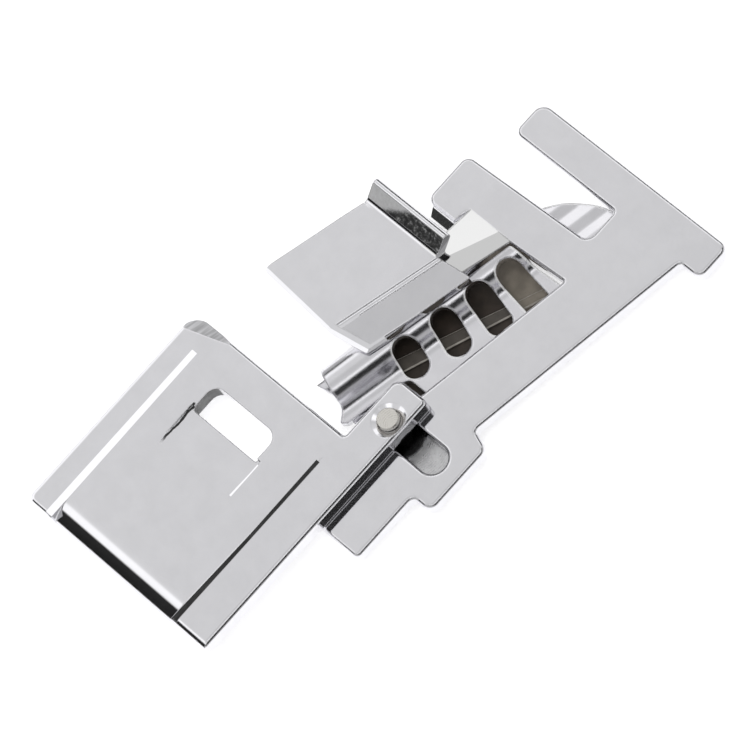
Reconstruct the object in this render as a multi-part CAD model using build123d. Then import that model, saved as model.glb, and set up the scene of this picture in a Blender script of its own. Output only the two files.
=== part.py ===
from build123d import *
import math
import os

os.makedirs("parts", exist_ok=True)

# Base plate, measured from the pivot axis, X across the foot and Y along it
plate_thickness = 1.2
plate_edge_round = 0.35
head_far_y = 30.5
head_tip_x = -13.1
head_tip_y = 17.3
arm_tip_x = -11.1
fork_low_y = 23.3
fork_width = 3.5
fork_end_x = 1.6
fork_seat_x = -0.2
tee_x = 12.25
tee_low_y = 26.75
neck_right_top_x = 9.8
neck_right_low_x = 5.8
neck_low_y = 4.3
ear_x = 7.9
ear_half_width = 3.6
tab_right_x = 5.65
tab_end_y = -10.75
tab_left_x = -2.9
tab_shoulder_y = 2.6
cut_corner_x = 2.48
cut_corner_y = 19.24
cut_slant_deg = 10.75
cut_far_x = -9.1
cut_far_y = 18.62

# Shoulder rivet in its oblong slot
pivot_x = -0.22
pivot_y = 0.06
pivot_slot_right_x = 5.95
shoulder_radius = 1.3
running_gap = 0.075
tenon_radius = 0.95
tenon_gap = 0.05
rivet_head_radius = 1.05
rivet_head_height = 0.35
rivet_head_chamfer = 0.1
collar_radius = 2.45
collar_thickness = 0.3
rivet_foot_width = 7.2
rivet_foot_right = 5.6
rivet_foot_thickness = 0.45
rivet_foot_chamfer = 0.15
face_gap = 0.05

# Sole plate
sole_thickness = 1.6
sole_left_x = -21.65
sole_right_x = 1.55
sole_front_y = -25.5
sole_back_y = -3.5
bar_left_x = -2.3
bar_end_y = 3.4
sole_edge_round = 0.4
sole_low_chamfer = 0.15
dimple_radius = 1.65
dimple_depth = 0.2
corner_run_x = 5.9
corner_run_y = 1.8
corner_drop = 0.8
recess_depth = 0.25
recess_left_x = -19.2
recess_wall_front = 0.62
recess_wall_back = 0.2
recess_right_wall = 0.7
recess_end_y = -6.0
nose_drop = 1.25
nose_run = 2.5
front_round = 0.8
nose_blend = 0.03
needle_left_x = -15.2
needle_width = 8.1
needle_front_y = -10.2
needle_length = 3.0
needle_round = 1.2
tongue_depth = 0.25
tongue_front_y = -14.0
tongue_side = 0.4

# Tape scroll sheet
scroll_thickness = 0.6
scroll_slant_deg = 12.6
scroll_floor = 2.7
scroll_valley_radius = 1.3
scroll_wall_deg = 63.0
scroll_wall_length = 0.15
scroll_crest_radius = 1.75
scroll_crest_flat = 0.5
scroll_bottom_drop = 1.8
scroll_return_end = -1.0
scroll_tail_u = 22.0
scroll_tip_u = 23.0
scroll_mouth_u = 0.25
scroll_mouth_slant = 0.28
crest_end_u = 19.2
tail_back_w = 7.2
tail_side_w = 3.6
tail_tip_w = 2.6
tail_inner_w = 2.2
inner_edge_u = 16.9
inner_edge_w = 2.3
flange_step = 1.1
flange_drop = 0.4
flange_slant = 1.2
return_mouth_u = 1.25
return_corner_u = 21.0
return_tip_w = 8.2
return_side_w = 6.0
return_inner_w = 1.5
return_near_u = 17.0
return_near_w = -2.0
sheet_far_w = 10.0
guide_edge_u = 6.9
guide_edge_w = 5.65
flange_side = 3.6
apron_x = 2.83
apron_y = 18.1
apron_radius = 9.0
apron_right_x = 4.3
apron_folds = ((2.7, 0), (3.6, -0.12), (4.6, -0.02), (5.8, -0.14), (6.8, -0.02), (8.6, -0.2))
apron_fold_round = 0.8
hem_start_u = 1.6
hem_start_w = 0.72
hem_start_width = 0.96
hem_end_u = 20.0
hem_end_w = 4.17
hem_end_width = 1.63
hem_height = 0.35
hem_chamfer = 0.12
window_width = 2.45
window_far_w = 5.05
window_near_step = 0.77
window_near_w = -0.85
window_places = ((3.1, 5), (6.6, -1), (10.5, -6), (14.6, -7))

# Fabric guide
guide_thickness = 1.0
guide_slant_deg = 16.5
guide_line_x = -4.85
guide_line_y = 8.87
guide_lip_z = 2.95
guide_flap_z = 3.4
guide_strip = 3.25
crown_half = 0.3
crown_height = 0.08
lip_round = 0.3
guide_edge_round = 0.8
flap_far_x = -19.43
flap_far_y = 3.26
flap_entry_x = -16.26
flap_entry_y = 13.36
flap_inner_x = -7.04
flap_inner_y = 13.67
flap_bend_x = -10.19
flap_bend_y = 2.69
strip_inner_x = -3.6
strip_inner_y = 14.2
strip_corner_x = -6.4
strip_corner_y = 3.4
strip_end_round = 0.8
guide_depth = 12.25
guide_length = 14.0
entry_y = 13.4
entry_radius = 0.8
entry_deg = 42.0
entry_rise = 1.9
entry_thickness = 0.9
rim_round = 0.4
entry_left_x = -16.2
entry_right_x = -7.2
gusset_near_x = -3.95
gusset_low_left_x = -8.4
gusset_low_right_x = -4.7
gusset_inset = 0.15
brim_left_x = -12.2
brim_right_x = -9.5
brim_reach = 0.9
brim_drop = 1.4
brim_root = 1.2
brim_foot = 0.7
brim_foot_drop = 0.3

sole_z = plate_thickness + face_gap
sole_top_z = sole_z + sole_thickness
pivot_slot_radius = shoulder_radius + running_gap


def outline(corners):
    """Face bounded by straight edges, each corner given as x, y and its radius."""
    points = [(x, y) for x, y, r in corners]
    radii = [r for x, y, r in corners]
    return make_face(FilletPolyline(*points, radius=radii, close=True))


def prism(corners, low, high):
    return extrude(Pos(0, 0, low) * outline(corners), high - low)


def local_frame(x, y, slant_deg):
    """Plane whose local X runs along the slanted line, local Y towards the neck and Z up."""
    s = math.radians(slant_deg)
    return Plane(origin=(x, y, 0), x_dir=(-math.sin(s), -math.cos(s), 0), z_dir=(0, 0, 1))


def section_plane(frame):
    """Plane across a slanted line: local X away from the neck, local Y up."""
    return Plane(origin=frame.origin, x_dir=-frame.y_dir, z_dir=-frame.x_dir)


# Base plate blank
cut_slope = math.tan(math.radians(cut_slant_deg))
shoulder_x = cut_corner_x - (cut_corner_y - tab_shoulder_y) * cut_slope
blank = outline([
    (arm_tip_x, fork_low_y + fork_width, 0.8),
    (arm_tip_x, head_far_y, 1.2),
    (tee_x, head_far_y, 0.9),
    (tee_x, tee_low_y, 0.9),
    (neck_right_top_x, tee_low_y, 0.4),
    (neck_right_low_x, neck_low_y, 0.5),
    (ear_x, ear_half_width, 0.9),
    (ear_x, -ear_half_width, 0.9),
    (tab_right_x, -ear_half_width, 0.6),
    (tab_right_x, tab_end_y, 0.5),
    (tab_left_x, tab_end_y, 0.8),
    (tab_left_x, tab_shoulder_y, 0.8),
    (shoulder_x, tab_shoulder_y, 0.5),
    (cut_corner_x, cut_corner_y, 0.15),
    (cut_far_x, cut_far_y, 0.15),
    (cut_far_x - 0.3, head_tip_y, 0.3),
    (head_tip_x, head_tip_y, 0.9),
    (head_tip_x, fork_low_y - 0.6, 0.9),
    (fork_end_x, fork_low_y, 0.9),
    (fork_end_x, fork_low_y + fork_width, 0.4),
])
slot_left_x = pivot_x - pivot_slot_radius
slot_length = pivot_slot_right_x - slot_left_x
slot_shape = Pos(slot_left_x + slot_length / 2, pivot_y) * SlotOverall(slot_length, 2 * pivot_slot_radius)
plate = extrude(blank - slot_shape, plate_thickness)
plate = fillet(plate.faces().sort_by(Axis.Z)[-1].edges(), plate_edge_round)

# Fabric guide, bent from the plate
guide = local_frame(guide_line_x, guide_line_y, guide_slant_deg)
low_lip = guide_lip_z - guide_thickness
low_flap = guide_flap_z - guide_thickness
crown_low = guide_flap_z - (guide_flap_z - guide_lip_z) * crown_half / guide_strip
strip_top = Line((lip_round, guide_lip_z), (guide_strip - crown_half, crown_low))
crown = ThreePointArc(strip_top @ 1, (guide_strip, guide_flap_z + crown_height),
                      (guide_strip + crown_half, guide_flap_z))
sheet = Polyline(crown @ 1, (guide_depth, guide_flap_z), (guide_depth, low_flap), (guide_strip, low_flap),
                 (0, low_lip), (0, guide_lip_z - lip_round))
lip = TangentArc(sheet @ 1, strip_top @ 0, tangent=(0, 1))
across = section_plane(guide)
strip = extrude(across * make_face([strip_top, crown, *sheet.edges(), lip]), guide_length, both=True)
flap_shape = [
    (flap_far_x, flap_far_y, 0),
    (flap_entry_x, flap_entry_y, 0.3),
    (flap_inner_x, flap_inner_y, 0.2),
    (strip_inner_x, strip_inner_y, 0.2),
    (strip_corner_x, strip_corner_y, 0.6),
    (flap_bend_x, flap_bend_y, 0),
]
strip = strip & prism(flap_shape, 0, 2 * guide_flap_z)
flap_face = strip.faces().filter_by(Axis.Z).sort_by(Axis.Z)[-1]
flap_rim = flap_face.edges().sort_by(Axis.Y)[0]
strip = fillet(flap_rim, guide_edge_round)
end_low = Vector(strip_corner_x, strip_corner_y, guide_lip_z)
end_high = Vector(flap_bend_x, flap_bend_y, guide_flap_z)
end_line = (end_high - end_low).normalized()
end_plane = Plane(origin=end_low - end_line, x_dir=Vector(0, 0, 1).cross(end_line), z_dir=end_line)
end_square = Rectangle(3 * strip_end_round, 3 * strip_end_round)
end_section = Pos(strip_end_round / 2, strip_end_round / 2) * end_square
end_section -= Pos(-strip_end_round, -strip_end_round) * Circle(strip_end_round)
strip -= extrude(end_plane * end_section, (end_high - end_low).length + 1 + strip_end_round / 2)

# Up-turned entry lip along the flap, and the head's edge turned down beside it


def turned_edge(y, z, radius, angle_deg, length, thickness):
    """Section in Y and Z of a sheet that leaves a flat top along +Y and turns up by the angle."""
    turn = math.radians(angle_deg)
    bend = (y + radius * math.sin(turn), z + radius * (1 - math.cos(turn)))
    rim = (bend[0] + length * math.cos(turn), bend[1] + length * math.sin(turn))
    path = Wire([
        *TangentArc((y, z), bend, tangent=(1, 0)).edges(),
        *Line(bend, rim).edges(),
    ])
    face = make_face(offset(path, thickness, side=Side.RIGHT))
    along = Vector(math.cos(turn), math.sin(turn), 0)
    rim_corners = face.vertices().sort_by(lambda v: Vector(v).dot(along))[-2:]
    return fillet(rim_corners, rim_round)


entry_section = turned_edge(entry_y, guide_flap_z, entry_radius, entry_deg, entry_rise, entry_thickness)
entry = extrude(Plane.YZ.offset(entry_left_x) * entry_section, entry_right_x - entry_left_x)
brim_section = outline([
    (head_tip_y + brim_root, plate_thickness, 0),
    (head_tip_y + 0.1, plate_thickness, 0.5),
    (head_tip_y - brim_reach, plate_thickness - brim_drop, 0.2),
    (head_tip_y - brim_reach + brim_foot, plate_thickness - brim_drop - brim_foot_drop, 0.2),
    (head_tip_y + brim_root, plate_edge_round, 0),
])
brim = extrude(Plane.YZ.offset(brim_left_x) * brim_section, brim_right_x - brim_left_x)

# Gusset from the head up to the flap and strip


def quad(y, left, right, left_z, right_z):
    points = [(left, y, left_z), (right, y, right_z), (right, y, right_z - guide_thickness),
              (left, y, left_z - guide_thickness)]
    return make_face(Polyline(*points, close=True))


gusset = loft([
    quad(entry_y, gusset_low_left_x, gusset_low_right_x, guide_flap_z, guide_lip_z),
    quad(cut_corner_y - gusset_inset, cut_far_x, gusset_near_x, plate_thickness, plate_thickness),
], ruled=True)
base_plate = plate + strip + entry + brim + gusset

# Tape scroll: outer surface of the sheet, from the flange over the crest and back beneath
scroll = local_frame(cut_corner_x, cut_corner_y, scroll_slant_deg)
wall = math.radians(scroll_wall_deg)
rise, run = math.sin(wall), math.cos(wall)
valley_end = (scroll_floor + scroll_valley_radius * rise, scroll_valley_radius * (1 - run))
wall_end = (valley_end[0] + scroll_wall_length * run, valley_end[1] + scroll_wall_length * rise)
crest_z = wall_end[1] + scroll_crest_radius * (1 - run)
crest_start = (wall_end[0] + scroll_crest_radius * rise, crest_z)
crest_end = (crest_start[0] + scroll_crest_flat, crest_z)
bend_end = (crest_end[0], -scroll_bottom_drop)
outer_path = Wire([
    *Line((-flange_side, 0), (scroll_floor, 0)).edges(),
    *TangentArc((scroll_floor, 0), valley_end, tangent=(1, 0)).edges(),
    *Line(valley_end, wall_end).edges(),
    *TangentArc(wall_end, crest_start, tangent=(run, rise)).edges(),
    *Line(crest_start, crest_end).edges(),
    *TangentArc(crest_end, bend_end, tangent=(1, 0)).edges(),
    *Line(bend_end, (scroll_return_end, -scroll_bottom_drop)).edges(),
])
sheet_section = make_face(offset(outer_path, scroll_thickness, side=Side.RIGHT))
tape_sheet = extrude(section_plane(scroll) * sheet_section, -(scroll_tip_u + 1))


def scroll_prism(corners, low, high):
    """Upright prism with corners given along the scroll, away from the neck, and their radius."""
    return scroll * prism([(u, -w, r) for u, w, r in corners], low, high)


upper_shape = [
    (scroll_mouth_u - flange_side * scroll_mouth_slant, -flange_side, 0.5),
    (scroll_mouth_u + guide_edge_w * scroll_mouth_slant, guide_edge_w, 0.3),
    (guide_edge_u, guide_edge_w, 0.3),
    (guide_edge_u, sheet_far_w, 0),
    (crest_end_u, sheet_far_w, 0),
    (scroll_tail_u - 0.3, tail_back_w, 2.0),
    (scroll_tail_u, tail_side_w, 1.0),
    (scroll_tip_u, tail_tip_w, 0.2),
    (scroll_tip_u - 0.6, tail_inner_w, 0.2),
    (inner_edge_u, inner_edge_w, 0.5),
    (inner_edge_u - flange_step, inner_edge_w - flange_drop, 0.5),
    (inner_edge_u - flange_step - flange_slant, -flange_side, 0.8),
]
lower_shape = [
    (return_mouth_u, return_near_w, 0.3),
    (return_mouth_u, sheet_far_w, 0.3),
    (return_corner_u, sheet_far_w, 0.3),
    (scroll_tip_u, return_tip_w, 0.3),
    (scroll_tail_u, return_side_w, 0.5),
    (scroll_tail_u, return_inner_w, 0.5),
    (return_near_u, return_near_w, 1.0),
]
hem_low = -scroll_bottom_drop + scroll_thickness / 2
hem_high = -scroll_bottom_drop + scroll_thickness + hem_height
hem = scroll_prism([
    (hem_start_u, hem_start_w, 0),
    (hem_start_u, hem_start_w + hem_start_width, 0),
    (hem_end_u, hem_end_w + hem_end_width, 0),
    (hem_end_u, hem_end_w, 0),
], hem_low, hem_high)
hem = chamfer(hem.faces().sort_by(Axis.Z)[-1].edges(), hem_chamfer)
split_z = -scroll_bottom_drop / 2
tape_scroll = tape_sheet & (scroll_prism(upper_shape, split_z, 3) + scroll_prism(lower_shape, -3, split_z))
for index, (window_u, fan_deg) in enumerate(window_places):
    near_w = window_near_w + index * window_near_step
    length = window_far_w - near_w
    place = Pos(window_u, -(near_w + window_far_w) / 2, split_z) * Rot(0, 0, 90 + fan_deg)
    tape_scroll -= scroll * extrude(place * SlotOverall(length, window_width), 4)

# Round apron of the scroll under the head, with shallow folds along the scroll
apron_path = FilletPolyline((-flange_side, 0), *apron_folds, radius=apron_fold_round)
apron_section = make_face(offset(apron_path, scroll_thickness, side=Side.RIGHT))
apron_sheet = extrude(section_plane(scroll) * apron_section, apron_radius)
apron_disc = Pos(apron_x, apron_y) * extrude(Circle(apron_radius), apron_radius, both=True)
apron_limit = prism([
    (apron_x - apron_radius, cut_corner_y, 0),
    (apron_x - apron_radius, apron_y + apron_radius, 0),
    (apron_right_x, apron_y + apron_radius, 0),
    (apron_right_x, cut_corner_y - 1, 0),
    (cut_corner_x - 1, cut_corner_y - 1, 0),
], -apron_radius, apron_radius)
tape_scroll += apron_sheet & apron_disc & apron_limit
tape_scroll += hem

# Sole plate with the bar along its right side
sole_shape = outline([
    (sole_left_x, sole_front_y, 0.8),
    (sole_right_x, sole_front_y, 0.5),
    (sole_right_x, bar_end_y, 0.5),
    (bar_left_x, bar_end_y, 1.0),
    (bar_left_x, sole_back_y, 0.3),
    (sole_left_x, sole_back_y, 1.5),
])
sole = extrude(Pos(0, 0, sole_z) * sole_shape, sole_thickness)
sole = fillet(sole.faces().sort_by(Axis.Z)[-1].edges(), sole_edge_round)
sole = chamfer(sole.faces().sort_by(Axis.Z)[0].edges(), sole_low_chamfer)


def trough(y, left_wall, right_wall, floor_z):
    points = [(recess_left_x, y, sole_top_z + 0.1), (bar_left_x, y, sole_top_z + 0.1),
              (bar_left_x - right_wall, y, floor_z), (recess_left_x + left_wall, y, floor_z)]
    return make_face(Polyline(*points, close=True))


recess = loft([
    trough(sole_front_y - 0.5, recess_wall_front, recess_right_wall, sole_top_z - recess_depth),
    trough(recess_end_y, recess_wall_back, 0.1, sole_top_z),
], ruled=True)
sole -= recess

# Nose: the recess floor rolls down to the front edge, and the land beside it has a smaller round


def front_roll(top_z, run, drop):
    """Section in Y and Z of what is cut off above a round that ends at the front edge."""
    roll = TangentArc((sole_front_y + run, top_z), (sole_front_y, top_z - drop), tangent=(-1, 0))
    corner = Polyline(roll @ 1, (sole_front_y - 1, top_z - drop), (sole_front_y - 1, top_z + 1),
                      (sole_front_y + run, top_z + 1), roll @ 0)
    return make_face([roll, *corner.edges()])


nose_left = recess_left_x + recess_wall_front
nose_width = bar_left_x - recess_right_wall - nose_left
nose_top_z = sole_top_z - recess_depth + nose_blend
sole -= extrude(Plane.YZ.offset(nose_left) * front_roll(nose_top_z, nose_run, nose_drop), nose_width)
front_width = sole_right_x - sole_left_x
front_plane = Plane.YZ.offset(sole_left_x)
sole -= extrude(front_plane * front_roll(sole_top_z, front_round, front_round), front_width)

# Needle slot and the tongue pressed down in front of it
needle_back_y = needle_front_y + needle_length
needle_right_x = needle_left_x + needle_width
sole -= prism([
    (needle_left_x, needle_front_y, 0.2),
    (needle_right_x, needle_front_y, 0.2),
    (needle_right_x, needle_back_y, needle_round),
    (needle_left_x, needle_back_y, needle_round),
], sole_z - 1, sole_top_z + 1)


def recess_floor_z(y):
    share = (y - sole_front_y + 0.5) / (recess_end_y - sole_front_y + 0.5)
    return sole_top_z - recess_depth * (1 - share)


press_line = Polyline((tongue_front_y, recess_floor_z(tongue_front_y)),
                      (needle_front_y + 0.3, recess_floor_z(needle_front_y) - tongue_depth),
                      (needle_front_y + 0.3, sole_top_z), (tongue_front_y, sole_top_z), close=True)
press_plane = Plane.YZ.offset(needle_left_x - tongue_side)
press = extrude(press_plane * make_face(press_line), needle_width + 2 * tongue_side)
sole -= press
sole -= Pos(0, 0, sole_z - 1) * extrude(Circle(tenon_radius + tenon_gap), sole_thickness + 2)
sole -= Pos(0, 0, sole_top_z - dimple_depth / 2) * Cone(rivet_head_radius, dimple_radius, dimple_depth)

# Facet on the back left corner
facet_start = Vector(sole_left_x, sole_back_y - corner_run_y, sole_top_z)
facet_end = Vector(sole_left_x + corner_run_x, sole_back_y, sole_top_z)
facet_low = Vector(sole_left_x, sole_back_y, sole_top_z - corner_drop)
facet_line = facet_end - facet_start
facet = Plane(origin=facet_start, x_dir=facet_line, z_dir=facet_line.cross(facet_low - facet_start))
sole -= extrude(facet * Rectangle(4 * corner_run_x, 4 * corner_run_x), sole_thickness)

# Shoulder rivet, with an oblong foot under the plate
head_top_z = sole_top_z + face_gap + rivet_head_height
foot_z = -face_gap - collar_thickness
rivet_profile = Polyline(
    (0, foot_z),
    (collar_radius, foot_z),
    (collar_radius, -face_gap),
    (shoulder_radius, -face_gap),
    (shoulder_radius, sole_z - face_gap / 2),
    (tenon_radius, sole_z - face_gap / 2),
    (tenon_radius, sole_top_z + face_gap),
    (rivet_head_radius, sole_top_z + face_gap),
    (rivet_head_radius, head_top_z - rivet_head_chamfer),
    (rivet_head_radius - rivet_head_chamfer, head_top_z),
    (0, head_top_z),
    close=True,
)
rivet_foot_length = rivet_foot_right + rivet_foot_width / 2
rivet_foot_middle = rivet_foot_right - rivet_foot_length / 2
foot_shape = Pos(rivet_foot_middle, 0, foot_z) * SlotOverall(rivet_foot_length, rivet_foot_width)
rivet_foot = extrude(foot_shape, -rivet_foot_thickness)
rivet_foot = chamfer(rivet_foot.faces().sort_by(Axis.Z)[-1].edges(), rivet_foot_chamfer)
pivot_rivet = revolve(Plane.XZ * make_face(rivet_profile), Axis.Z) + rivet_foot

# The stored frame has its origin in the fork slot, on the plate's underside
home = Pos(-fork_seat_x, -(fork_low_y + fork_width / 2), 0)
at_pivot = Pos(pivot_x, pivot_y, 0)
for name, solid in {
    "base_plate": base_plate,
    "tape_scroll": tape_scroll,
    "sole_plate": at_pivot * sole,
    "pivot_rivet": at_pivot * pivot_rivet,
}.items():
    export_step(home * solid, f"parts/{name}.step")
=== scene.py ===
import math

import bpy
from mathutils import Matrix, Vector


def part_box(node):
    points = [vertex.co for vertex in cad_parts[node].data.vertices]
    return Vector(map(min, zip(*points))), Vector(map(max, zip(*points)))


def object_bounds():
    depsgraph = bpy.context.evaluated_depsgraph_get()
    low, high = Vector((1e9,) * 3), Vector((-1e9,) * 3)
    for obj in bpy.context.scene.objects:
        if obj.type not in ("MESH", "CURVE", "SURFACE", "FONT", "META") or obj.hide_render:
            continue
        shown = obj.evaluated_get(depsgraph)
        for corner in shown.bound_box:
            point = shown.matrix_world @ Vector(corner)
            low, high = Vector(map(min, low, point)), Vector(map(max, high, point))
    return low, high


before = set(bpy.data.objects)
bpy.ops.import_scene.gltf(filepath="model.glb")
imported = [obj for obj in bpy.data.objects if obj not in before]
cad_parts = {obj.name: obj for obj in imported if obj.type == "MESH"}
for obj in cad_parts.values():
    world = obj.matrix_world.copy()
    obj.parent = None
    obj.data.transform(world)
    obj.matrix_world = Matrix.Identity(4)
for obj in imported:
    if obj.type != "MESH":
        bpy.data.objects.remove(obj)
cad_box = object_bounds()

# Lengths are in metres, and places are in the foot's own frame

# Camera
VIEW_ELEVATION = math.radians(61.0)
VIEW_TURN = math.radians(9.9)
VIEW_ROLL = math.radians(-39.3)
VIEW_TARGET = Vector((-0.00489, -0.02256, 0.0012))
VIEW_DISTANCE = 0.6087
LENS_MM = 336.0
SENSOR_MM = 36.0
CLIP_START = 0.01

# Plan directions of the view: away from the camera, and to its right before the roll
AWAY = Vector((-math.cos(VIEW_TURN), math.sin(VIEW_TURN), 0))
RIGHT = Vector((math.sin(VIEW_TURN), math.cos(VIEW_TURN), 0))

# Directions of the foot: its front is at low Y
UP = Vector((0, 0, 1))
FORWARD = Vector((0, -1, 0))
LEFTWARD = Vector((-1, 0, 0))
RIGHTWARD = Vector((1, 0, 0))

# Noise values between which a mottled colour goes from its first tone to its second
MOTTLE_LOW = 0.3
MOTTLE_HIGH = 0.7

# Noise drawn out into streaks, before its own stretch
STREAK_NOISE = {"Scale": 1.0, "Detail": 2.0}


def node_tree(owner):
    """The emptied node tree of a material or a world."""
    owner.use_nodes = True
    tree = owner.node_tree
    tree.nodes.clear()
    return tree


def add(tree, kind, **values):
    """New node with its properties, or its input values where the name is an input socket."""
    node = tree.nodes.new(kind)
    for name, value in values.items():
        if name in node.inputs:
            node.inputs[name].default_value = value
        else:
            setattr(node, name, value)
    return node


def ramp(tree, source, stops):
    """Colour ramp over a factor, stops as (position, grey or colour)."""
    node = tree.nodes.new("ShaderNodeValToRGB")
    points = node.color_ramp.elements
    while len(points) < len(stops):
        points.new(0.5)
    for point, (place, colour) in zip(points, stops):
        rgb = (colour,) * 3 if isinstance(colour, (int, float)) else colour
        point.position = place
        point.color = (*rgb, 1)
    tree.links.new(source, node.inputs["Fac"])
    return node.outputs["Color"]


def mottled(tree, pattern, tones):
    """Two tones, greys or colours, blended by a noise pattern."""
    return ramp(tree, pattern, [(MOTTLE_LOW, tones[0]), (MOTTLE_HIGH, tones[1])])


def mix_colour(tree, factor, first, second):
    """Blend of two colours, the second a socket or a plain grey."""
    node = add(tree, "ShaderNodeMix", data_type="RGBA")
    tree.links.new(factor, node.inputs["Factor"])
    tree.links.new(first, node.inputs["A"])
    if isinstance(second, (int, float)):
        node.inputs["B"].default_value = (second, second, second, 1)
    else:
        tree.links.new(second, node.inputs["B"])
    return node.outputs["Result"]


def math_node(tree, operation, *values):
    """Math node over sockets or plain numbers."""
    node = add(tree, "ShaderNodeMath", operation=operation)
    for slot, value in zip(node.inputs, values):
        if isinstance(value, (int, float)):
            slot.default_value = value
        else:
            tree.links.new(value, slot)
    return node.outputs["Value"]


def distance(tree, source, centre):
    """How far a value lies from a number, either way."""
    return math_node(tree, "ABSOLUTE", math_node(tree, "SUBTRACT", source, centre))


def smooth_step(tree, source, low, high):
    """0 below low, 1 above high, or the other way round where low is the larger."""
    node = add(tree, "ShaderNodeMapRange", interpolation_type="SMOOTHSTEP")
    node.inputs["From Min"].default_value = low
    node.inputs["From Max"].default_value = high
    tree.links.new(source, node.inputs["Value"])
    return node.outputs["Result"]


def all_of(tree, *masks):
    """Product of masks."""
    product = masks[0]
    for mask in masks[1:]:
        product = math_node(tree, "MULTIPLY", product, mask)
    return product


def any_of(tree, *masks):
    """Largest of masks."""
    largest = masks[0]
    for mask in masks[1:]:
        largest = math_node(tree, "MAXIMUM", largest, mask)
    return largest


def between(tree, source, low, high, edge):
    """1 from low to high, fading to 0 over a soft edge outside them."""
    rising = smooth_step(tree, source, low - edge, low)
    falling = smooth_step(tree, source, high + edge, high)
    return all_of(tree, rising, falling)


def dot(tree, source, direction):
    """Share of a vector along a direction."""
    node = add(tree, "ShaderNodeVectorMath", operation="DOT_PRODUCT")
    node.inputs[1].default_value = direction
    tree.links.new(source, node.inputs[0])
    return node.outputs["Value"]


def split(tree, place):
    """X, Y and Z of a vector."""
    node = add(tree, "ShaderNodeSeparateXYZ")
    tree.links.new(place, node.inputs["Vector"])
    return [node.outputs[name] for name in "XYZ"]


def own_place(tree):
    """Position on the piece, in the piece's own frame."""
    return add(tree, "ShaderNodeTexCoord").outputs["Object"]


def own_facing(tree):
    """Direction that the surface faces, in the piece's own frame."""
    return add(tree, "ShaderNodeTexCoord").outputs["Normal"]


def noise(tree, place, values):
    """Noise pattern over a position, by its named input values."""
    node = add(tree, "ShaderNodeTexNoise", **values)
    tree.links.new(place, node.inputs["Vector"])
    return node.outputs["Fac"]


def streaks(tree, place, scale, turn=0.0):
    """Noise pattern drawn out into streaks, turned in plan."""
    stretch = add(tree, "ShaderNodeMapping", Scale=scale, Rotation=(0, 0, turn))
    tree.links.new(place, stretch.inputs["Vector"])
    return noise(tree, stretch.outputs["Vector"], STREAK_NOISE)


def leaning_normal(tree, lean):
    """Shading normal, given in the piece's own frame by how far it leans from upright in X and Y."""
    turn = add(tree, "ShaderNodeVectorTransform", vector_type="NORMAL")
    turn.convert_from = "OBJECT"
    turn.convert_to = "WORLD"
    turn.inputs["Vector"].default_value = Vector((*lean, 1)).normalized()
    return turn.outputs["Vector"]


def close_material(tree, surface):
    """Output node of a material, fed by its shader."""
    output = add(tree, "ShaderNodeOutputMaterial")
    tree.links.new(surface, output.inputs["Surface"])


# Plating
EDGE_WEAR = 0.0002
EDGE_SAMPLES = 6
# Roughness of the places with painted shade, highlight or sheen
PAINTED_ROUGHNESS = 0.6
HAZE_NOISE = {"Scale": 420.0, "Detail": 4.0, "Roughness": 0.6}
HAZE_SPAN = (0.35, 0.65)
HAZE_DARK = 0.96
RIPPLE_NOISE = {"Scale": 160.0, "Detail": 1.0}
RIPPLE_DEPTH = 0.0001
SCRATCH_SCALE = (9000.0, 900.0, 900.0)
SCRATCH_TURN = math.radians(35)
SCRATCH_STRENGTH = 0.004
SCRATCH_DEPTH = 0.00001


def chrome(name, tint, haze, ripple, painted_light=None, painted_shade=None, facets=None, edge=EDGE_WEAR):
    """Plated metal: polish haze in the roughness, slow ripple and fine scratches in the bump, worn edges.

    haze is the lowest and highest roughness, and ripple the strength of the slow bump. Places with
    painted shade, highlight or sheen come as a mask and a non-metallic colour, painted shade can also
    change the plating's colour, and facets lists the places that lean.
    """
    material = bpy.data.materials.new(name)
    tree = node_tree(material)
    link = tree.links.new
    place = own_place(tree)
    haze_pattern = noise(tree, place, HAZE_NOISE)
    ripple_pattern = noise(tree, place, RIPPLE_NOISE)
    scratch_pattern = streaks(tree, place, SCRATCH_SCALE, SCRATCH_TURN)
    dark_tint = tuple(HAZE_DARK * share for share in tint)
    colour = ramp(tree, haze_pattern, list(zip(HAZE_SPAN, (dark_tint, tint))))
    roughness = mottled(tree, haze_pattern, haze)
    worn_normal = add(tree, "ShaderNodeBevel", samples=EDGE_SAMPLES, Radius=edge).outputs["Normal"]
    fine = add(tree, "ShaderNodeBump", Strength=SCRATCH_STRENGTH, Distance=SCRATCH_DEPTH)
    slow = add(tree, "ShaderNodeBump", Strength=ripple, Distance=RIPPLE_DEPTH)
    link(worn_normal, fine.inputs["Normal"])
    link(scratch_pattern, fine.inputs["Height"])
    link(fine.outputs["Normal"], slow.inputs["Normal"])
    link(ripple_pattern, slow.inputs["Height"])
    surface = add(tree, "ShaderNodeBsdfPrincipled", Metallic=1.0)
    # Painted shade mixed into the plating's colour
    if painted_shade:
        colour = painted_shade(tree, place, colour)
    # Painted shade, highlight and sheen, drawn as non-metallic colour
    if painted_light:
        mask, painted_colour = painted_light(tree, place, worn_normal)
        colour = mix_colour(tree, mask, colour, painted_colour)
        roughness = mix_colour(tree, mask, roughness, PAINTED_ROUGHNESS)
        link(math_node(tree, "SUBTRACT", 1.0, mask), surface.inputs["Metallic"])
    normal = slow.outputs["Normal"]
    if facets:
        for share, lean in facets(tree, place):
            normal = mix_colour(tree, share, normal, leaning_normal(tree, lean))
    link(colour, surface.inputs["Base Color"])
    link(roughness, surface.inputs["Roughness"])
    link(normal, surface.inputs["Normal"])
    close_material(tree, surface.outputs["BSDF"])
    return material


# Soft edge of the marks, and how far bright facets lean towards the front, the right and the left
PATCH_EDGE = 0.00005
FRONT_LEAN = 0.32
RIGHT_LEAN = 0.42
LEFT_LEAN = 0.128

# Slope, as the upward share of a facing, from which a surface counts as a top
TOP_SLOPE = (0.75, 0.8)

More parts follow.
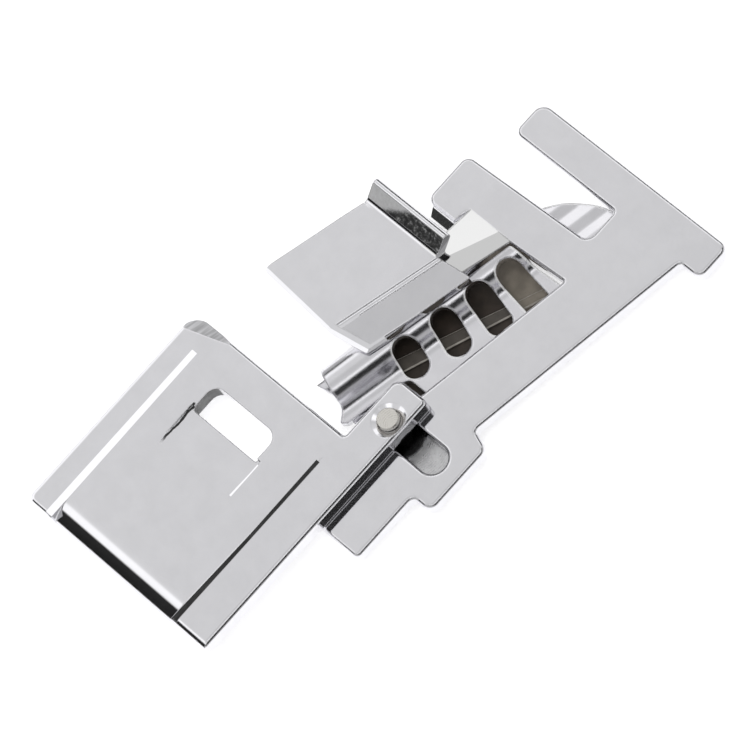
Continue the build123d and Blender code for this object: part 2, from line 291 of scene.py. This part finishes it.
# Tape scroll: plan place of its head end, and the directions along and across it
SCROLL_TURN = math.radians(12.6)
SCROLL_HEAD = Vector((0.00268, -0.00581, 0))
SCROLL_ALONG = Vector((-math.sin(SCROLL_TURN), -math.cos(SCROLL_TURN), 0))
SCROLL_ACROSS = Vector((-math.cos(SCROLL_TURN), math.sin(SCROLL_TURN), 0))
SCROLL_TINT = (0.78, 0.775, 0.805)
SCROLL_HAZE = (0.15, 0.23)
SCROLL_RIPPLE = 0.05

# Painted brown shade on its inside: heights, length from the head, and the share of the facing that still
# counts as inward
SHADED_INSIDE_TOP = -0.00063
SHADED_INSIDE_LOW = -0.00177
SHADED_INSIDE_LENGTH = 0.0186
SHADED_INSIDE_EDGE = 0.00003
SHADED_INSIDE_INWARD = (0.35, 0.15)
SHADED_INSIDE_UNDERSIDE = (-0.5, -0.4)
INSIDE_SHADE_TONES = ((0.022, 0.017, 0.013), (0.040, 0.030, 0.023))
INSIDE_MOTTLE_NOISE = {"Scale": 900.0, "Detail": 3.0}

# The hem inside it: its flat top, in a lighter painted shade, and the painted glint along its edge
HEM_TOP = -0.00087
HEM_EDGE = -0.00099
HEM_FLAT_SLOPE = (0.95, 0.98)
HEM_STEEPEST = (0.25, 0.35)
HEM_FLATTEST = (0.97, 0.93)
HEM_TOP_SHADE_TONES = ((0.060, 0.053, 0.045), (0.085, 0.075, 0.064))
HEM_GLINT_TONES = ((0.28, 0.26, 0.23), (0.42, 0.40, 0.36))

# Painted light inside the open head end, which fades out over the end's last part
OPEN_END_LENGTH = 0.0052
OPEN_END_FADE = 0.8
OPEN_END_LIGHT_TONES = ((0.15, 0.132, 0.107), (0.21, 0.186, 0.152))

# Painted highlight on the rim of each window's tail side, found where the bevelled edge turns the normal
WINDOW_BEVEL = 0.00035
HIGHLIGHT_RIM_TURN = (0.10, 0.16)
RIM_HIGHLIGHT_GREY = 0.97


def scroll_painted_light(tree, place, worn_normal):
    """Mask and colour of the painted brown shade inside the scroll, with its painted glint and painted
    light, and of the painted highlights on the windows' rims.
    """
    facing = own_facing(tree)
    height = dot(tree, place, UP)
    slope = dot(tree, facing, UP)
    along = dot(tree, place, SCROLL_ALONG)
    head = SCROLL_HEAD.dot(SCROLL_ALONG)
    # Painted glint along the hem's edge
    hem_glint = all_of(
        tree,
        smooth_step(tree, slope, *HEM_FLATTEST),
        smooth_step(tree, slope, *HEM_STEEPEST),
        smooth_step(tree, height, HEM_EDGE, HEM_EDGE + SHADED_INSIDE_EDGE),
    )
    hem_top = all_of(
        tree,
        smooth_step(tree, slope, *HEM_FLAT_SLOPE),
        smooth_step(tree, height, HEM_TOP, HEM_TOP + SHADED_INSIDE_EDGE / 2),
    )
    inward = smooth_step(tree, dot(tree, facing, SCROLL_ACROSS), *SHADED_INSIDE_INWARD)
    # Painted brown shade inside the scroll
    inside = all_of(
        tree,
        any_of(tree, inward, hem_glint),
        between(tree, height, SHADED_INSIDE_LOW, SHADED_INSIDE_TOP, SHADED_INSIDE_EDGE),
        smooth_step(tree, slope, *SHADED_INSIDE_UNDERSIDE),
        smooth_step(tree, along, head + SHADED_INSIDE_LENGTH + SHADED_INSIDE_EDGE, head + SHADED_INSIDE_LENGTH),
    )
    # Painted light inside the open head end
    open_end_light = smooth_step(tree, along, head + OPEN_END_LENGTH, head + OPEN_END_FADE * OPEN_END_LENGTH)
    true_normal = add(tree, "ShaderNodeNewGeometry").outputs["True Normal"]
    true_share = dot(tree, true_normal, SCROLL_ALONG)
    worn_share = dot(tree, worn_normal, SCROLL_ALONG)
    turned = math_node(tree, "SUBTRACT", true_share, worn_share)
    # Painted highlight on the windows' rims
    rim_highlight = all_of(
        tree,
        smooth_step(tree, turned, *HIGHLIGHT_RIM_TURN),
        smooth_step(tree, height, SHADED_INSIDE_TOP, SHADED_INSIDE_TOP + SHADED_INSIDE_EDGE),
    )
    # Mottling of the painted shade inside
    inside_mottle = noise(tree, place, INSIDE_MOTTLE_NOISE)
    colour = mottled(tree, inside_mottle, INSIDE_SHADE_TONES)
    for mask, tones in ((hem_top, HEM_TOP_SHADE_TONES), (open_end_light, OPEN_END_LIGHT_TONES), (hem_glint, HEM_GLINT_TONES)):
        colour = mix_colour(tree, mask, colour, mottled(tree, inside_mottle, tones))
    return any_of(tree, inside, rim_highlight), mix_colour(tree, rim_highlight, colour, RIM_HIGHLIGHT_GREY)


# Gusset between guide and head: its reach, its slopes and the line below which its painted shade is greyer
GUSSET_START = Vector((-0.00674, -0.01140, 0))
GUSSET_END = Vector((-0.00540, -0.00640, 0))
GUSSET_FRONT = -0.0114
GUSSET_BACK = -0.0060
GUSSET_LEFT = -0.0090
GUSSET_RIGHT = -0.0035
GUSSET_STEEPEST = (0.80, 0.82)
GUSSET_FLATTEST = (0.965, 0.955)
GUSSET_UPPER_SHADE = 0.70
GUSSET_LOWER_SHADE = 0.47


def gusset_painted_shade(tree, place, colour):
    """Painted grey shade on the gusset, greyer still on its half beside the strip."""
    x, y, _ = split(tree, place)
    slope = dot(tree, own_facing(tree), UP)
    on_gusset = all_of(
        tree,
        smooth_step(tree, slope, *GUSSET_FLATTEST),
        smooth_step(tree, slope, *GUSSET_STEEPEST),
        between(tree, y, GUSSET_FRONT, GUSSET_BACK, PATCH_EDGE),
        between(tree, x, GUSSET_LEFT, GUSSET_RIGHT, PATCH_EDGE),
    )
    line = GUSSET_END - GUSSET_START
    below = Vector((line.y, -line.x, 0)).normalized()
    depth = math_node(tree, "SUBTRACT", dot(tree, place, below), GUSSET_START.dot(below))
    lower = smooth_step(tree, depth, -PATCH_EDGE, PATCH_EDGE)
    # Painted shade: grey on the gusset, darker on its lower half
    colour = mix_colour(tree, on_gusset, colour, GUSSET_UPPER_SHADE)
    return mix_colour(tree, all_of(tree, on_gusset, lower), colour, GUSSET_LOWER_SHADE)


# Painted grey and dark reflection on the guide's entry: its slope, where its trough starts, and how the
# painted dark spreads over it
ENTRY_TILT = math.radians(42)
ENTRY_FACING = Vector((0, -math.sin(ENTRY_TILT), math.cos(ENTRY_TILT)))
ENTRY_MATCH = (0.985, 0.995)
ENTRY_LEFT = -0.0160
ENTRY_LENGTH = 0.0090
ENTRY_FOOT = 0.0036
ENTRY_RISE = 0.0013
ENTRY_REFLECTION_GREYS = ((0.42, 0.42, 0.42), (0.55, 0.55, 0.56))
ENTRY_DARK_NOISE = {"Scale": 2600.0, "Detail": 5.0, "Roughness": 0.7}
ENTRY_DARK_SLANT = -0.4
ENTRY_DARK_RAGGED = 0.3
ENTRY_DARK_SPAN = (0.30, 0.42)
ENTRY_DARK_GREYS = [(0.42, 0.008), (0.55, 0.05), (0.68, 0.30)]

# Painted shade in the gap under the head's edge
BRIM_LEFT = -0.0121
BRIM_RIGHT = -0.0092
BRIM_FRONT = -0.0090
BRIM_BACK = -0.0079
BRIM_TOP = 0.00105
BRIM_SHADE = 0.004


def plate_painted_shade(tree, place, _worn_normal):
    """Mask and colour of the painted grey and dark reflection on the plate's entry and of the painted shade
    in the gap by the head.
    """
    x, y, z = split(tree, place)
    entry = all_of(
        tree,
        smooth_step(tree, dot(tree, own_facing(tree), ENTRY_FACING), *ENTRY_MATCH),
        smooth_step(tree, z, ENTRY_FOOT, ENTRY_FOOT + PATCH_EDGE),
    )
    reach = math_node(tree, "MULTIPLY_ADD", x, 1 / ENTRY_LENGTH, -ENTRY_LEFT / ENTRY_LENGTH)
    rise = math_node(tree, "MULTIPLY_ADD", z, 1 / ENTRY_RISE, -ENTRY_FOOT / ENTRY_RISE)
    slanted = math_node(tree, "MULTIPLY_ADD", rise, ENTRY_DARK_SLANT, reach)
    # Noise of the painted dark reflection on the entry
    dark_pattern = noise(tree, place, ENTRY_DARK_NOISE)
    ragged = math_node(tree, "MULTIPLY_ADD", dark_pattern, ENTRY_DARK_RAGGED, slanted)
    painted_dark = smooth_step(tree, ragged, *ENTRY_DARK_SPAN)
    grey = mottled(tree, dark_pattern, ENTRY_REFLECTION_GREYS)
    colour = mix_colour(tree, painted_dark, grey, ramp(tree, dark_pattern, ENTRY_DARK_GREYS))
    # Painted shade in the gap by the head
    brim = all_of(
        tree,
        smooth_step(tree, z, BRIM_TOP, BRIM_TOP - PATCH_EDGE),
        between(tree, x, BRIM_LEFT, BRIM_RIGHT, PATCH_EDGE),
        between(tree, y, BRIM_FRONT, BRIM_BACK, PATCH_EDGE),
    )
    return any_of(tree, entry, brim), mix_colour(tree, brim, colour, BRIM_SHADE)


# Front edge of the guide: where it is, and the forward share of a facing where its round turns bright
GUIDE_LOW = 0.0023
GUIDE_FRONT = -0.0196
GUIDE_ROUND_START = (0.05, 0.08)
GUIDE_BRIGHT = (0.57, 0.60)


def guide_front(tree, place):
    """Bright rounded front edge of the guide's flap and strip, with the start of the round left flat."""
    _, y, z = split(tree, place)
    forward = dot(tree, own_facing(tree), FORWARD)
    on_guide = all_of(
        tree,
        smooth_step(tree, z, GUIDE_LOW, GUIDE_LOW + PATCH_EDGE),
        smooth_step(tree, y, GUIDE_FRONT, GUIDE_FRONT - PATCH_EDGE),
    )
    start = all_of(
        tree,
        on_guide,
        smooth_step(tree, forward, *GUIDE_ROUND_START),
        smooth_step(tree, forward, *reversed(GUIDE_BRIGHT)),
    )
    edge = all_of(tree, on_guide, smooth_step(tree, forward, *GUIDE_BRIGHT))
    return [(start, (0, 0)), (edge, (0, -FRONT_LEAN))]


# Painted shade in a torn crack beside the pressed tongue: it strays from side to side by its width times a
# noise
CRACK_X = -0.01545
CRACK_FRONT = -0.0395
CRACK_BACK = -0.0345
CRACK_WIDTH = 0.00016
CRACK_CORE = 0.6
CRACK_STRAY = 3.0
CRACK_FRONT_FADE = 0.001
CRACK_BACK_FADE = 0.0002
GRAIN_NOISE = {"Scale": 900.0, "Detail": 3.0}
# Greys of the painted shade in the crack and in the groove
SHADE_GREYS = (0.01, 0.03)

# Painted grey sheen on the sole's back corner facet, streaked across
FACET_FACING = Vector((-1.44, 4.72, 10.62)).normalized()
FACET_MATCH = (0.995, 0.998)
FACET_STREAKS = (2600.0, 260.0, 260.0)
FACET_SHEEN_GREYS = [(0.35, (0.40, 0.40, 0.41)), (0.65, (0.66, 0.66, 0.68))]

# Painted shade on the left end of the needle slot
SLOT_END_LEFT = -0.0180
SLOT_END_RIGHT = -0.0134
SLOT_END_FRONT = -0.0354
SLOT_END_LOW = 0.0013
SLOT_END_EDGE = 0.0001
SLOT_END_FACING = (0.4, 0.6)
SLOT_END_SHADE_GREYS = (0.22, 0.34)

# Painted shade in the groove along the bar: the recess's sloped right wall, and a strip of floor beside it
GROOVE_LEFT = -0.00312
GROOVE_RIGHT = -0.00222
GROOVE_BACK = -0.0305
GROOVE_LEAST_LEAN = (0.12, 0.2)
GROOVE_MOST_LEAN = (0.9, 0.8)
STRIP_LEFT = -0.00268
STRIP_BACK = -0.0316
STRIP_LOW = 0.0013


def sole_shade_and_sheen(tree, place, _worn_normal):
    """Mask and colour of the painted shade in the sole's crack, on its slot end and in its groove, and of
    the painted sheen on its corner facet.
    """
    x, y, z = split(tree, place)
    facing = own_facing(tree)
    leftward = dot(tree, facing, LEFTWARD)
    rightward = dot(tree, facing, RIGHTWARD)
    grain = noise(tree, place, GRAIN_NOISE)
    strayed = math_node(tree, "MULTIPLY_ADD", grain, CRACK_STRAY * CRACK_WIDTH, x)
    off_crack = distance(tree, strayed, CRACK_X + CRACK_STRAY * CRACK_WIDTH / 2)
    crack = all_of(
        tree,
        smooth_step(tree, off_crack, CRACK_WIDTH, CRACK_CORE * CRACK_WIDTH),
        smooth_step(tree, y, CRACK_FRONT, CRACK_FRONT + CRACK_FRONT_FADE),
        smooth_step(tree, y, CRACK_BACK, CRACK_BACK - CRACK_BACK_FADE),
    )
    facet = smooth_step(tree, dot(tree, facing, FACET_FACING), *FACET_MATCH)
    slot_end = all_of(
        tree,
        smooth_step(tree, rightward, *SLOT_END_FACING),
        smooth_step(tree, x, SLOT_END_RIGHT, SLOT_END_RIGHT - SLOT_END_EDGE),
        smooth_step(tree, y, SLOT_END_FRONT, SLOT_END_FRONT + SLOT_END_EDGE),
        smooth_step(tree, z, SLOT_END_LOW, SLOT_END_LOW + SLOT_END_EDGE),
        smooth_step(tree, x, SLOT_END_LEFT, SLOT_END_LEFT + 2 * SLOT_END_EDGE),
    )
    wall = all_of(
        tree,
        smooth_step(tree, leftward, *GROOVE_LEAST_LEAN),
        smooth_step(tree, leftward, *GROOVE_MOST_LEAN),
        between(tree, x, GROOVE_LEFT, GROOVE_RIGHT, PATCH_EDGE),
        smooth_step(tree, y, GROOVE_BACK, GROOVE_BACK - PATCH_EDGE),
    )
    strip = all_of(
        tree,
        smooth_step(tree, x, STRIP_LEFT - PATCH_EDGE, STRIP_LEFT),
        smooth_step(tree, x, GROOVE_RIGHT, GROOVE_RIGHT - 2 * PATCH_EDGE),
        smooth_step(tree, y, STRIP_BACK, STRIP_BACK - PATCH_EDGE),
        smooth_step(tree, dot(tree, facing, UP), *TOP_SLOPE),
        smooth_step(tree, z, STRIP_LOW, STRIP_LOW + PATCH_EDGE),
    )
    # Painted shade in the crack, on the groove's wall and on the strip beside it
    shaded = any_of(tree, crack, wall, strip)
    # Painted grey sheen on the corner facet
    colour = ramp(tree, streaks(tree, place, FACET_STREAKS), FACET_SHEEN_GREYS)
    # Painted shade on the slot's left end
    colour = mix_colour(tree, slot_end, colour, mottled(tree, grain, SLOT_END_SHADE_GREYS))
    colour = mix_colour(tree, shaded, colour, mottled(tree, grain, SHADE_GREYS))
    return any_of(tree, shaded, facet, slot_end), colour


# Bright facets of the sole: the recess's left wall, the burr beside the tongue and the left edge
WALL_LEFT = -0.01925
WALL_RIGHT = -0.01862
WALL_FRONT = -0.0503
WALL_BACK = -0.0312
WALL_EDGE = 0.00002
BURR_X = -0.00670
BURR_WIDTH = 0.00013
BURR_CORE = 0.8
BURR_FRONT = -0.0389
BURR_BACK = -0.0352
LEFT_EDGE_X = -0.0210
LEFT_EDGE_START = (0.06, 0.10)
LEFT_EDGE_END = (0.55, 0.45)


def sole_shine(tree, place):
    """Narrow places of the sole that shine because they lean."""
    x, y, _ = split(tree, place)
    facing = own_facing(tree)
    leftward = dot(tree, facing, LEFTWARD)
    top = smooth_step(tree, dot(tree, facing, UP), *TOP_SLOPE)
    wall = all_of(
        tree,
        top,
        between(tree, x, WALL_LEFT, WALL_RIGHT, WALL_EDGE),
        between(tree, y, WALL_FRONT, WALL_BACK, PATCH_EDGE),
    )
    burr = all_of(
        tree,
        top,
        smooth_step(tree, distance(tree, x, BURR_X), BURR_WIDTH, BURR_CORE * BURR_WIDTH),
        smooth_step(tree, y, BURR_FRONT, BURR_FRONT + PATCH_EDGE),
        smooth_step(tree, y, BURR_BACK, BURR_BACK - PATCH_EDGE),
    )
    left_edge = all_of(
        tree,
        smooth_step(tree, leftward, *LEFT_EDGE_START),
        smooth_step(tree, leftward, *LEFT_EDGE_END),
        smooth_step(tree, x, LEFT_EDGE_X, LEFT_EDGE_X - PATCH_EDGE),
    )
    return [(wall, (RIGHT_LEAN, 0)), (burr, (RIGHT_LEAN, 0)), (left_edge, (-LEFT_LEAN, 0))]


# Rivet: warm satin head, painted shade on its middle in the slot and grey foot, parted by height
FOOT_TOP = -0.00034
HEAD_LOW = 0.0026
RIVET_EDGE = 0.00003
HEAD_TONES = ((0.66, 0.64, 0.60), (0.73, 0.71, 0.67))
FOOT_TONES = ((0.50, 0.50, 0.51), (0.68, 0.68, 0.69))
MIDDLE_SHADE = 0.03
RIVET_ROUGHNESS = (0.22, 0.34)
RIVET_NOISE = {"Scale": 1800.0, "Detail": 5.0}
RING_SCALE = 1500.0
RING_WAVER = 0.6
RING_STRENGTH = 0.15
RING_DEPTH = 0.00002


def turned_steel(name, axis_point):
    """Satin steel with fine lathe rings about the rivet's axis."""
    material = bpy.data.materials.new(name)
    tree = node_tree(material)
    link = tree.links.new
    place = own_place(tree)
    centred = add(tree, "ShaderNodeMapping", Location=(-axis_point.x, -axis_point.y, 0))
    rings = add(tree, "ShaderNodeTexWave", wave_type="RINGS", rings_direction="Z", Scale=RING_SCALE)
    rings.inputs["Distortion"].default_value = RING_WAVER
    link(place, centred.inputs["Vector"])
    link(centred.outputs["Vector"], rings.inputs["Vector"])
    bump = add(tree, "ShaderNodeBump", Strength=RING_STRENGTH, Distance=RING_DEPTH)
    link(rings.outputs["Fac"], bump.inputs["Height"])
    grain = noise(tree, place, RIVET_NOISE)
    height = dot(tree, place, UP)
    above_foot = smooth_step(tree, height, FOOT_TOP, FOOT_TOP + RIVET_EDGE)
    on_head = smooth_step(tree, height, HEAD_LOW, HEAD_LOW + RIVET_EDGE)
    # Painted shade on the rivet's middle, between foot and head
    colour = mix_colour(tree, above_foot, mottled(tree, grain, FOOT_TONES), MIDDLE_SHADE)
    colour = mix_colour(tree, on_head, colour, mottled(tree, grain, HEAD_TONES))
    surface = add(tree, "ShaderNodeBsdfPrincipled", Metallic=1.0)
    link(colour, surface.inputs["Base Color"])
    link(mottled(tree, grain, RIVET_ROUGHNESS), surface.inputs["Roughness"])
    link(bump.outputs["Normal"], surface.inputs["Normal"])
    close_material(tree, surface.outputs["BSDF"])
    return material


def dress(node, material):
    """The node's own mesh with a better material in its slots."""
    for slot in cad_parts[node].material_slots:
        slot.material = material


PLATE_TINT = (0.805, 0.802, 0.828)
PLATE_HAZE = (0.05, 0.09)
PLATE_RIPPLE = 0.02
rivet_low, rivet_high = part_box("pivot_rivet")
rivet_axis = (rivet_low + rivet_high) / 2
dress("base_plate", chrome(
    "plate_chrome", PLATE_TINT, PLATE_HAZE, PLATE_RIPPLE,
    painted_light=plate_painted_shade, painted_shade=gusset_painted_shade, facets=guide_front,
))
dress("sole_plate", chrome(
    "sole_chrome", PLATE_TINT, PLATE_HAZE, PLATE_RIPPLE,
    painted_light=sole_shade_and_sheen, facets=sole_shine,
))
dress("tape_scroll", chrome(
    "scroll_chrome", SCROLL_TINT, SCROLL_HAZE, SCROLL_RIPPLE,
    painted_light=scroll_painted_light, edge=WINDOW_BEVEL,
))
dress("pivot_rivet", turned_steel("rivet_steel", rivet_axis))

# Pale floor under the lowest face
FLOOR_HALF = 2.0
FLOOR_COLOUR = (0.82, 0.82, 0.82, 1)
FLOOR_LIFT = 0.52
FLOOR_RAYS = ("Is Camera Ray", "Is Glossy Ray", "Is Transmission Ray")


def floor_material():
    """White paper: it takes the object's shadow, and its plain white also shows in the metal."""
    material = bpy.data.materials.new("floor_paper")
    tree = node_tree(material)
    link = tree.links.new
    path = add(tree, "ShaderNodeLightPath")
    shown = any_of(tree, *(path.outputs[name] for name in FLOOR_RAYS))
    paper = add(tree, "ShaderNodeBsdfDiffuse", Color=FLOOR_COLOUR)
    glow = add(tree, "ShaderNodeEmission")
    link(math_node(tree, "MULTIPLY", shown, FLOOR_LIFT), glow.inputs["Strength"])
    both = add(tree, "ShaderNodeAddShader")
    link(paper.outputs["BSDF"], both.inputs[0])
    link(glow.outputs["Emission"], both.inputs[1])
    close_material(tree, both.outputs["Shader"])
    return material


def make_floor(height):
    """Square of paper at a height, which is no piece of the foot."""
    near, far = -FLOOR_HALF, FLOOR_HALF
    corners = [(near, near, height), (far, near, height), (far, far, height), (near, far, height)]
    mesh = bpy.data.meshes.new("floor")
    mesh.from_pydata(corners, [], [(0, 1, 2, 3)])
    mesh.materials.append(floor_material())
    floor = bpy.data.objects.new("floor", mesh)
    bpy.context.scene.collection.objects.link(floor)


make_floor(cad_box[0][2])

# Room: grey levels by the sine of the elevation, far with and without the bright band, and near the camera
WORLD_PEAK = 1.3
BAND_LEVELS = [
    (0.0, 0.012), (0.59, 0.02), (0.645, 0.95), (0.80, 0.95),
    (0.84, 0.64), (0.88, 0.585), (0.966, 0.48), (1.0, 0.50),
]
PLAIN_LEVELS = [
    (0.0, 0.012), (0.59, 0.02), (0.645, 0.60),
    (0.84, 0.60), (0.88, 0.585), (0.966, 0.48), (1.0, 0.50),
]
NEAR_LEVELS = [(0.0, 0.015), (0.91, 0.02), (0.935, 1.0), (0.985, 1.0), (0.993, 0.52)]

# How far the levels sink towards the right on the far side, and towards both sides on the camera's side
RIGHT_SINK = 0.12
SIDE_SINK = 0.1

# Share of a direction that points away, where the far side passes into the camera's side
NEAR_START = (0.13, 0.03)

# The flat faces of the foot at rest reflect directions with this away share into the camera
FLAT_AWAY = 0.485
BAND_AWAY_REACH = (0.14, 0.10)
BAND_SIDE_REACH = (0.25, 0.18)

# Grey fill low in the room, save near that away share: its top is lowest a little right of the view
FILL_LEVEL = 0.40
FILL_TOP = 0.42
FILL_RISE = 0.6
FILL_CENTRE = 0.2
FILL_FLAT_HALF = 0.2
FILL_EDGE = 0.04
FILL_GAP = 0.22


def studio_world():
    """Room around the foot, by height: dark to a bright band, then a grey ceiling, and a grey fill low down.

    On the camera's side it is dark up to a bright panel near overhead.
    """
    world = bpy.data.worlds.new("studio")
    bpy.context.scene.world = world
    tree = node_tree(world)
    direction = add(tree, "ShaderNodeTexCoord").outputs["Generated"]
    height = dot(tree, direction, UP)
    away = dot(tree, direction, AWAY)
    side = dot(tree, direction, RIGHT)
    aside = math_node(tree, "ABSOLUTE", side)
    off_flat = distance(tree, away, FLAT_AWAY)

    right_side = math_node(tree, "MAXIMUM", side, 0.0)
    far_height = math_node(tree, "MULTIPLY_ADD", right_side, RIGHT_SINK, height)
    near_height = math_node(tree, "MULTIPLY_ADD", aside, SIDE_SINK, height)
    beside_flat = smooth_step(tree, off_flat, *BAND_AWAY_REACH)
    straight_ahead = smooth_step(tree, aside, *BAND_SIDE_REACH)
    band = any_of(tree, beside_flat, straight_ahead)
    plain_level = ramp(tree, far_height, PLAIN_LEVELS)
    band_level = ramp(tree, far_height, BAND_LEVELS)
    far_level = mix_colour(tree, band, plain_level, band_level)
    near_share = smooth_step(tree, away, *NEAR_START)
    level = mix_colour(tree, near_share, far_level, ramp(tree, near_height, NEAR_LEVELS))

    off_centre = math_node(tree, "SUBTRACT", distance(tree, side, FILL_CENTRE), FILL_FLAT_HALF)
    spread = math_node(tree, "MAXIMUM", off_centre, 0.0)
    fill_height = math_node(tree, "MULTIPLY_ADD", spread, FILL_RISE, FILL_TOP)
    fill = all_of(
        tree,
        smooth_step(tree, math_node(tree, "SUBTRACT", fill_height, height), -FILL_EDGE, FILL_EDGE),
        smooth_step(tree, off_flat, FILL_GAP - FILL_EDGE, FILL_GAP + FILL_EDGE),
    )
    background = add(tree, "ShaderNodeBackground", Strength=WORLD_PEAK)
    output = add(tree, "ShaderNodeOutputWorld")
    tree.links.new(mix_colour(tree, fill, level, FILL_LEVEL), background.inputs["Color"])
    tree.links.new(background.outputs["Background"], output.inputs["Surface"])


studio_world()

# Soft lamp overhead, a little to the camera's side
LAMP_AWAY = -0.3
LAMP_HEIGHT = 0.9
LAMP_SIZE = 0.8
LAMP_POWER = 4.0


def make_lamp():
    """Square area lamp aimed at the foot, for its shadow: the metal shows the room instead."""
    lamp = bpy.data.lights.new("top_box", "AREA")
    lamp.shape = "SQUARE"
    lamp.size = LAMP_SIZE
    lamp.energy = LAMP_POWER
    holder = bpy.data.objects.new("top_box", lamp)
    place = VIEW_TARGET + AWAY * LAMP_AWAY + UP * LAMP_HEIGHT
    holder.location = place
    holder.rotation_euler = (VIEW_TARGET - place).to_track_quat("-Z", "Y").to_euler()
    holder.visible_glossy = False
    bpy.context.scene.collection.objects.link(holder)


def make_camera():
    """Camera at its distance from the view's target, tilted, turned and rolled."""
    ahead = AWAY * math.cos(VIEW_ELEVATION) - UP * math.sin(VIEW_ELEVATION)
    level_up = RIGHT.cross(ahead)
    right = RIGHT * math.cos(VIEW_ROLL) + level_up * math.sin(VIEW_ROLL)
    up = level_up * math.cos(VIEW_ROLL) - RIGHT * math.sin(VIEW_ROLL)
    camera = bpy.data.cameras.new("camera")
    camera.sensor_width = SENSOR_MM
    camera.lens = LENS_MM
    camera.clip_start = CLIP_START
    holder = bpy.data.objects.new("camera", camera)
    turn = Matrix((right, up, -ahead)).transposed().to_4x4()
    holder.matrix_world = Matrix.Translation(VIEW_TARGET - ahead * VIEW_DISTANCE) @ turn
    bpy.context.scene.collection.objects.link(holder)
    bpy.context.scene.camera = holder


make_lamp()
make_camera()
bpy.context.scene.view_settings.view_transform = "Standard"
